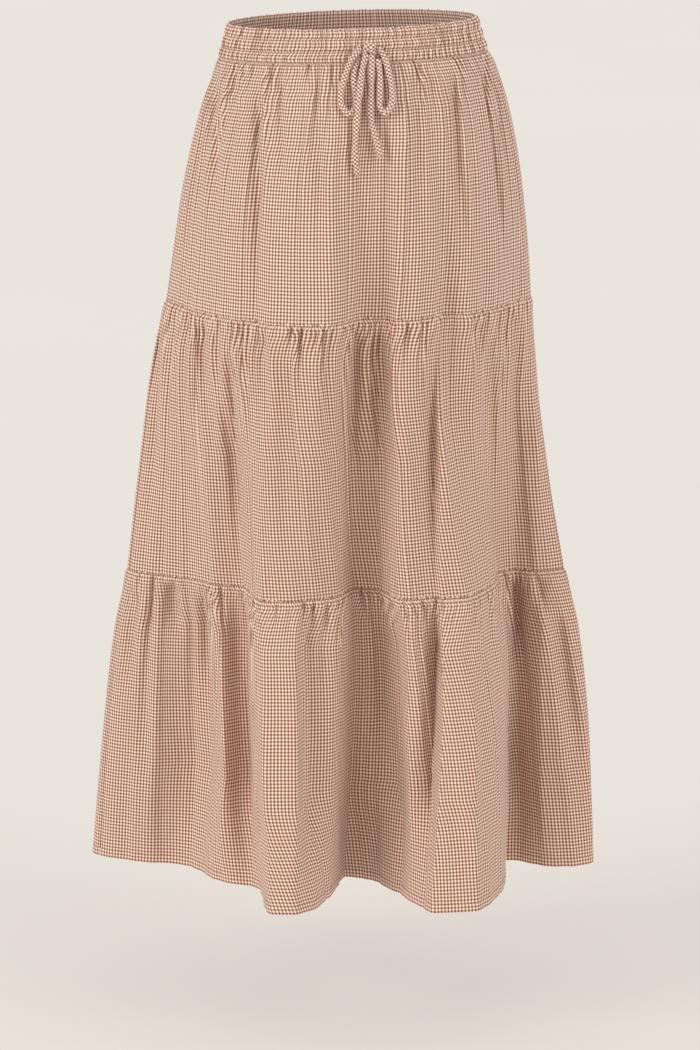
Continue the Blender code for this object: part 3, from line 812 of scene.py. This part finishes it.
def seam_gathers(tier, ends, variation):
    """The gathers under a panel's top seam: their waves, pinches, spare cloth and reach."""
    taper = np.clip(BY_SIDE * tier.gathers / FLAT_BY_SIDE_SEAM, 0.0, 1.0)
    top_length = line_length(ring(tier.sections, tier.sections[0].z, *ends))
    fine = uneven_waves(round(top_length / FINE_WIDTH), variation) * taper
    close = uneven_waves(round(top_length / CLOSE_WIDTH), variation + 0.7)
    broad = uneven_waves(round(top_length / BROAD_WIDTH), variation + 1.9) * taper
    pinch = np.clip(0.05 - 0.9 * close, 0.0, 1.15) ** 2 * taper
    valley = np.clip(0.1 - 0.9 * broad, 0.0, 1.3) ** 2
    reach = CLOSE_REACH * (1 + 0.50 * np.sin(14 * math.pi * SHARE + variation)
                           + 0.35 * np.sin(38 * math.pi * SHARE + 2 * variation))
    return Gathers(
        fine, broad, pinch, taper,
        spare_at_top=(0.06 + pinch) / (0.06 + pinch).mean(),
        spare_below=(0.10 + valley) / (0.10 + valley).mean(),
        reach=np.maximum(reach, SHORTEST_REACH),
    )


def gather_waves(tier, gathers, drop, whole, fade):
    """How far the close and the broad gathers push the cloth out, at a drop below the seam."""
    is_top = tier is TIER_1
    depth = CLOSE_DEPTH_TOP if is_top else CLOSE_DEPTH_LOWER
    grown = float(smoothstep(drop, -1.0, GROWN_TOP if is_top else GROWN_LOWER))
    close = -depth * (gathers.pinch - 0.22) * gathers.taper * grown * fade
    spread = float(smoothstep(drop, 6.0, 55.0)) * (1 - 0.55 * max(0.0, drop) / whole)
    return close + BROAD_HEIGHT * gathers.broad * spread


def small_waves(tier, gathers, drop, whole, variation):
    """Fine puckers beside the seams, and slight unevenness between them."""
    by_edge = 0.0 if tier is TIER_3 else 0.30 * math.exp(-max(0.0, whole - drop) / 7.0)
    puckers = gathers.fine * (0.75 * math.exp(-max(0.0, drop) / 9.0) + by_edge)
    turn = 2 * math.pi * SHARE
    swing = 0.45 * np.sin(9 * turn + drop / 37.0 + variation) * np.sin(4 * turn - drop / 61.0)
    swing = swing + 0.30 * np.sin(23 * turn - drop / 29.0 + 3 * variation)
    return puckers + swing * gathers.taper * float(smoothstep(drop, 5.0, 60.0))


def swell(distance, highest_at):
    """A rise to 1 and back, that starts at a seam and is highest at a distance from it."""
    return distance / highest_at * math.exp(1 - distance / highest_at)


def seam_pull(tier, gathers, drop, whole):
    """How far the sewing pulls the cloth in, and how far the gathered cloth swells below it."""
    below, rise = max(0.0, drop), whole - drop
    pull = 0.0
    if tier is not TIER_3:
        pull -= 0.8 * math.exp(-max(0.0, rise) / 1.8)
    if tier is TIER_1:
        pull += 0.7 * swell(below, 9.0)
    else:
        pull = pull - (1.0 - 0.9 * gathers.fine) * math.exp(-max(0.0, drop + 0.5) / 1.6)
        pull += 0.8 * swell(below, 8.0)
    if tier is TIER_3:
        doubled = float(smoothstep(HEM_DEPTH - rise, -1.0, 0.6))
        pull += 0.35 * doubled - 0.45 * math.exp(-((rise - HEM_DEPTH) / 0.8) ** 2)
    return pull


def flat_across(taken, columns, flat_width):
    """Flat places of a row's columns, where `taken` is the cloth taken in along its line."""
    places = running_total(0.5 * (taken[1:] + taken[:-1]))
    return flat_width * np.interp(columns, SHARE, places / places[-1])


def tier_shell(tier, side, ends, variation):
    """One panel of a tier as a thin gathered sheet, its flat size and its grid of points."""
    top, edge_z = tier.sections[0].z, tier.sections[-1].z
    whole = top - edge_z
    ease = HEM_EASE if tier is TIER_3 else 1.0
    flat_width = ease * line_length(ring(tier.sections, edge_z, *ends))
    creases = [row for row in CREASES if row.tier == tier.name and row.side == side]
    gathers = seam_gathers(tier, ends, variation)
    side_dimple = -0.9 * np.exp(-(BY_SIDE * flat_width / 1.8) ** 2)
    columns = np.linspace(0.0, 1.0, tier.columns + 1)
    grid, across, profile = [], [], []
    for drop in row_drops(tier):
        z = top - drop
        below = max(0.0, drop)
        line = ring(tier.sections, min(z, top), *ends, creases, drop)
        fade = np.exp(-(below / gathers.reach) ** 1.3)
        out = gather_waves(tier, gathers, drop, whole, fade)
        out = out + small_waves(tier, gathers, drop, whole, variation)
        out = out + seam_pull(tier, gathers, drop, whole) + side_dimple
        line = line + plan_normals(line) * out[:, None]
        plan = points_at(columns, SHARE, line)
        plan[0, 1] = plan[-1, 1] = 0.0
        # The cloth that the seam gathers in lies in the pinches at the top, and spreads below.
        # Where the line runs through a crease, it takes in more cloth than nearby.
        spare = max(0.0, flat_width / line_length(line) - 1.0)
        taken = 1 + spare * (fade * gathers.spare_at_top + (1 - fade) * gathers.spare_below)
        run = np.linalg.norm(np.gradient(line, axis=0), axis=1)
        padded = np.pad(run, NEARBY // 2, mode="edge")
        taken = taken * run / np.convolve(padded, np.full(NEARBY, 1 / NEARBY), mode="valid")
        across.append(flat_across(taken, columns, flat_width))
        profile.append((z, sum(section_at(tier.sections, z)[:2]) / 2))
        height = lift(plan[:, 0], z)
        if tier is TIER_3:
            ripple = np.sin(plan[:, 0] / 23.0 + plan[:, 1] / 31.0)
            height = height + 0.5 * ripple * (below / whole) ** 3
        grid.append(np.column_stack((plan, height)))
    down = distances_along(np.array(profile))
    flats = np.column_stack((np.concatenate(across), -np.repeat(down, len(columns))))
    # The lower tiers take the copy of the cloth with painted shade in its colour
    piece = add_mesh(
        f"{tier.name}_{side}_cloth",
        np.concatenate(grid),
        grid_faces(len(columns), len(grid)),
        CLOTH if tier is TIER_1 else LOWER_CLOTH_PAINTED_SHADE,
        flats,
    )
    shell = piece.modifiers.new("thickness", "SOLIDIFY")
    shell.thickness = CLOTH_THICKNESS * MM
    shell.offset = 0.0
    return piece, flat_width, float(down[-1]), grid


# ------------------------------------------------------------------ sewing

THREAD_RADIUS = 0.2
THREAD_SIDES = 5
# How far the hem's and the band's stitches lie outside the middle of the cloth
HEM_THREAD_OUT = CLOTH_THICKNESS / 2 + 0.12
BAND_THREAD_OUT = 0.15
# Shares of a stitch's length, and how far the thread rises above the cloth at each
STITCH_MARKS = np.array([0.0, 0.12, 0.5, 0.88, 1.0])
STITCH_RISES = np.array([-0.25, 0.10, 0.16, 0.10, -0.25])


def stitch(line, outward, marks):
    """Points of one stitch along a line, its thread's centre at the distances `marks`."""
    along = distances_along(line)
    out = points_at(marks, along, outward)
    out /= np.linalg.norm(out, axis=1)[:, None]
    spine = points_at(marks, along, line) + out * STITCH_RISES[:, None]
    run = np.gradient(spine, axis=0)
    run /= np.linalg.norm(run, axis=1)[:, None]
    side = np.cross(run, out)
    angles = [2 * math.pi * turn / THREAD_SIDES for turn in range(THREAD_SIDES)]
    return [
        spine[k] + THREAD_RADIUS * (side[k] * math.cos(angle) + out[k] * math.sin(angle))
        for k in range(len(marks))
        for angle in angles
    ]


def add_stitching(name, lines, length, gap):
    """Sewn stitches along lines that lie on the cloth; each line is (points, outward)."""
    quads = []
    for row in range(len(STITCH_MARKS) - 1):
        for turn in range(THREAD_SIDES):
            here = row * THREAD_SIDES + turn
            after = row * THREAD_SIDES + (turn + 1) % THREAD_SIDES
            quads.append((here, after, after + THREAD_SIDES, here + THREAD_SIDES))
    points, faces = [], []
    for line, outward in lines:
        start = gap
        whole = distances_along(line)[-1]
        while start + length < whole:
            faces.extend(shifted(quads, len(points)))
            points.extend(stitch(line, outward, start + length * STITCH_MARKS))
            start += length + gap
    piece = add_mesh(name, points, faces, THREAD)
    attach(piece, "root")
    return piece


def outward_of(row):
    """Outward directions, seen from above, along a row of points."""
    flat = plan_normals(row[:, :2])
    return np.column_stack((flat, np.zeros(len(flat))))


hem_lines = []
for side, ends, variation in HALVES:
    for tier in TIERS:
        piece, width, length, grid = tier_shell(tier, side, ends, variation)
        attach(piece, "root")
        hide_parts(f"{tier.name}_{side}")
    # The hem's stitches run between the first two edge rows of the last tier
    row = grid[-len(EDGE_ROWS)] * 0.35 + grid[1 - len(EDGE_ROWS)] * 0.65
    out = outward_of(row)
    hem_lines.append((row + out * HEM_THREAD_OUT, out))
hem_thread = add_stitching("hem_stitching", hem_lines, length=3.2, gap=1.0)

# ------------------------------------------------------------------ waistband

BAND_COLUMNS = 420
BAND_FLAT_WIDTH = 510.0
# Middle height, half height and bulge of the three channels
CHANNELS = (
    (11.7, 5.6, 1.9),
    (0.3, 6.0, 1.8),
    (-11.6, 5.6, 1.9),
)
FULLEST_BULGE = 1.9
STITCH_ROWS = (6.3, -6.0)
# The band's ends, where the top starts to be bumpy, and where its cloth turns in
OUTER_TOP = 17.2
OUTER_FOOT = -17.6
BUMPY_FROM = 12.0
TURNS_IN_AT = 16.0

# Pleats in half of the band, their height from valley to crest, how deep the valleys are, and
# the cloth that these take in beyond their length
NARROW_PLEATS = 52
WIDE_PLEATS = 33
PLEAT_HEIGHT = 2.3
PLEAT_VALLEY = 1.2
PLEAT_SPARE = 0.36


def band_pleats(z, variation):
    """Small pleats of the elastic's casing, with round crests and narrow valleys."""
    turn = 2 * math.pi * SHARE
    lean = 0.35 * np.sin(9 * turn + variation) * z / BAND_HALF_HEIGHT
    wander = 1.6 * np.sin(4 * turn + variation) + 1.1 * np.sin(11 * turn + 3 * variation) + lean
    narrow = np.sin(NARROW_PLEATS * turn + 1.9 * wander)
    wide = np.sin(WIDE_PLEATS * turn - 1.4 * wander + 1.3 + 0.05 * z)
    both = 0.62 * narrow + 0.38 * wide
    return PLEAT_HEIGHT * np.sqrt(np.abs(0.5 - 0.5 * both)) - PLEAT_VALLEY


def outer_reach(z, pleat):
    """How far the band's outer cloth stands out of its ring at height z."""
    bulge = 0.0
    for middle, half, height in CHANNELS:
        across = (z - middle) / half
        if abs(across) < 1:
            bulge = height * math.sqrt(1 - across ** 2)
    out = 0.5 + bulge + pleat * (0.45 + 1.35 * (bulge / FULLEST_BULGE))
    if z > TURNS_IN_AT:
        out = out - 0.8 + 0.8 * pleat
    if z < -TURNS_IN_AT:
        out = out - 0.6
    return out


def band_line(z, ends):
    """Half of the band's ring at height z, or at its edge beyond that."""
    return ring(BAND_SECTIONS, max(-BAND_HALF_HEIGHT, min(BAND_HALF_HEIGHT, z)), *ends)


def band_row(line, z, reach, rise=0.0):
    """A row of the band's points at height z, `reach` outside the line."""
    plan = evenly_spaced(line + plan_normals(line) * reach[:, None], BAND_COLUMNS + 1)
    plan[0, 1] = plan[-1, 1] = 0.0
    return np.column_stack((plan, lift(plan[:, 0], z) + rise))


def add_band(side, ends, variation):
    """Half of the waistband as a closed tube of cloth, its flat size and its stitched rows."""
    taper = np.clip(BY_SIDE * 60, 0.0, 1.0)
    columns = np.linspace(0, 1, BAND_COLUMNS + 1)
    upper, lower = STITCH_ROWS
    outer = np.concatenate((
        np.linspace(OUTER_TOP, upper, 10),
        np.linspace(upper, lower, 11)[1:],
        np.linspace(lower, OUTER_FOOT, 11)[1:],
    ))
    inner = np.concatenate(([-17.7], np.linspace(-16.6, 16.4, 12), [17.6]))
    rows, stitched = [], []
    for z in outer:
        line = band_line(z, ends)
        pleat = band_pleats(z, variation) * taper
        side_dimple = 0.7 * np.exp(-(BY_SIDE * line_length(line) / 1.6) ** 2)
        rise = 0.0
        if z > BUMPY_FROM:
            rise = 0.9 * np.interp(columns, SHARE, pleat) * (z - BUMPY_FROM) / 5.0
        rows.append(band_row(line, z, outer_reach(z, pleat) - side_dimple, rise))
        if z in STITCH_ROWS:
            stitched.append(rows[-1])
    outer_count = len(rows)
    for z in inner:
        reach = -BAND_INNER + 0.35 * band_pleats(z, variation + 1.0) * taper
        if abs(z) > BAND_HALF_HEIGHT:
            reach = reach + 1.1
        rows.append(band_row(band_line(z, ends), z, reach))
    grid = np.array(rows)
    down = running_total(np.linalg.norm(np.diff(grid, axis=0), axis=2).mean(1))
    # Most of the spare cloth lies in the narrow valleys between the pleats
    valley = np.clip(0.2 - band_pleats(0.0, variation), 0.0, 1.4)
    taken = 1 + PLEAT_SPARE * valley / valley.mean()
    u, v = np.meshgrid(flat_across(taken, columns, BAND_FLAT_WIDTH), -down)
    flats = np.stack((u, v), 2).reshape(-1, 2)
    faces = grid_faces(BAND_COLUMNS + 1, len(grid))
    last = (len(grid) - 1) * (BAND_COLUMNS + 1)
    faces.extend((last + k, k, k + 1, last + k + 1) for k in range(BAND_COLUMNS))
    piece = add_mesh(
        f"waistband_{side}_cloth", grid.reshape(-1, 3), faces, BAND_CLOTH, flats)
    return piece, BAND_FLAT_WIDTH, float(down[outer_count - 1]), stitched


band_lines = []
for side, ends, variation in HALVES:
    piece, width, length, stitched = add_band(side, ends, variation)
    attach(piece, "root")
    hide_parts(f"waistband_{side}")
    for row in stitched:
        out = outward_of(row)
        band_lines.append((row + out * BAND_THREAD_OUT, out))
band_thread = add_stitching("waistband_stitching", band_lines, length=2.6, gap=0.8)

# ------------------------------------------------------------------ floor and light

FLOOR_Z = -1.063
FLOOR_REACH = 30
FLOOR_DARK = (0.42, 0.40, 0.37)
FLOOR_LIGHT = (0.45, 0.43, 0.40)
FLOOR_GLOW = (1.0, 0.955, 0.89, 1.0)
FLOOR_GLOW_STRENGTH = 0.42
ROOM_LIGHT = (1.0, 0.985, 0.965, 1.0)
ROOM_STRENGTH = 0.61
SUN_COLOUR = (1.0, 0.985, 0.96)
SUN_ANGLE = 32.0


def floor_material():
    """A pale, matt studio floor that glows a little, as a lit background does."""
    material, tree, shader = new_material("studio_floor", 0.95)
    shader.inputs["Specular IOR Level"].default_value = 0.1
    shader.inputs["Emission Color"].default_value = FLOOR_GLOW
    shader.inputs["Emission Strength"].default_value = FLOOR_GLOW_STRENGTH
    place = tree.nodes.new("ShaderNodeTexCoord")
    cloudy = add_node(tree, "ShaderNodeTexNoise", {"Scale": 0.8}, place.outputs["Object"])
    colour = colour_ramp(tree, cloudy.outputs["Fac"], (FLOOR_DARK, FLOOR_LIGHT))
    link(tree, colour, shader.inputs["Base Color"])
    return material


def add_sun(name, strength, toward):
    """A soft distant light that shines along `toward`."""
    light = bpy.data.lights.new(name, "SUN")
    light.energy = strength
    light.angle = math.radians(SUN_ANGLE)
    light.color = SUN_COLOUR
    lamp = bpy.data.objects.new(name, light)
    x, y, z = toward
    lamp.rotation_euler = (math.atan2(math.hypot(x, y), -z), 0.0, math.atan2(x, -y) + math.pi)
    bpy.context.scene.collection.objects.link(lamp)


floor_mesh = bpy.data.meshes.new("studio_floor")
floor_corners = [
    (x * FLOOR_REACH, y * FLOOR_REACH, FLOOR_Z) for x, y in ((-1, -1), (1, -1), (1, 1), (-1, 1))
]
floor_mesh.from_pydata(floor_corners, [], [(0, 1, 2, 3)])
floor_mesh.materials.append(floor_material())
floor = bpy.data.objects.new("studio_floor", floor_mesh)
bpy.context.scene.collection.objects.link(floor)

world = bpy.data.worlds.new("studio")
world.use_nodes = True
world.node_tree.nodes["Background"].inputs["Color"].default_value = ROOM_LIGHT
world.node_tree.nodes["Background"].inputs["Strength"].default_value = ROOM_STRENGTH
bpy.context.scene.world = world

add_sun("softbox_left", 1.40, (0.82, 0.57, -0.45))
add_sun("softbox_right", 0.88, (-0.82, 0.57, -0.45))

view = bpy.context.scene.view_settings
view.view_transform = "Standard"
view.look = "None"
view.exposure = 0.0
view.gamma = 1.0
